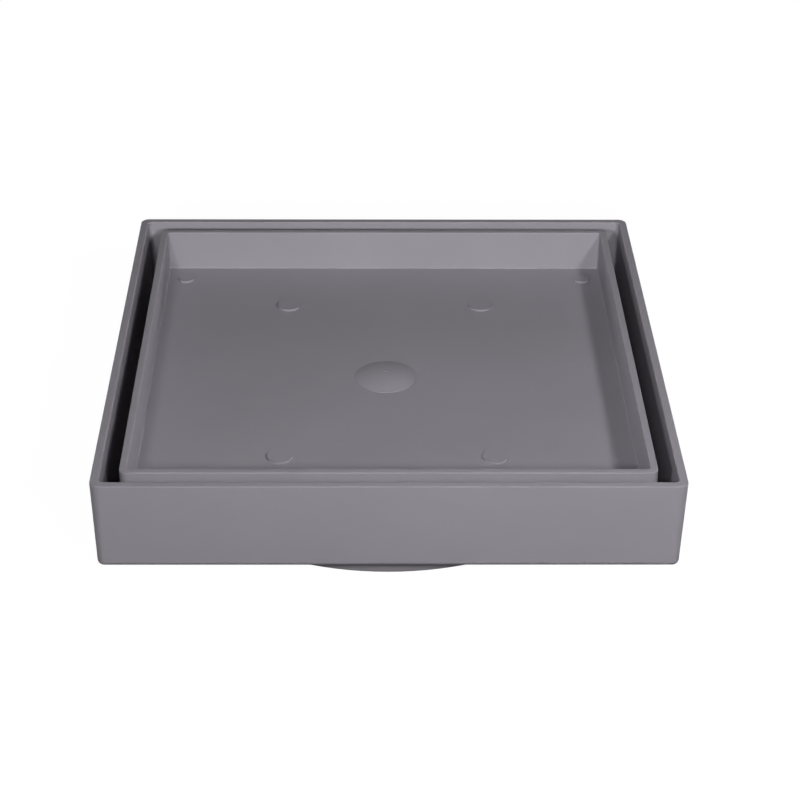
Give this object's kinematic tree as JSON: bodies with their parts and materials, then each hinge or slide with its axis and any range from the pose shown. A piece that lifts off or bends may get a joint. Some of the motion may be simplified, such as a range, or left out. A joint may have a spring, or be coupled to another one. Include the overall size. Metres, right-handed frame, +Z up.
{
  "type": "floor drain",
  "caption": "Square floor drain for tiling over: a drafted frame with a round outlet spigot below, and a lift-out tray for a tile that leaves a drain slot all round.",
  "frame": {"origin": "centre of the outlet spigot's lower end, where the drain stands", "axes": "+Z up along the outlet; X and Y square to the frame's sides"},
  "size_m": [0.11, 0.11, 0.0236],
  "materials": {
    "frame_plastic": "fine satin",
    "tray_plastic": "fine satin"
  },
  "bodies": {
    "root": {"drain_frame": "frame_plastic", "tile_tray": "tray_plastic"}
  },
  "joints": []
}
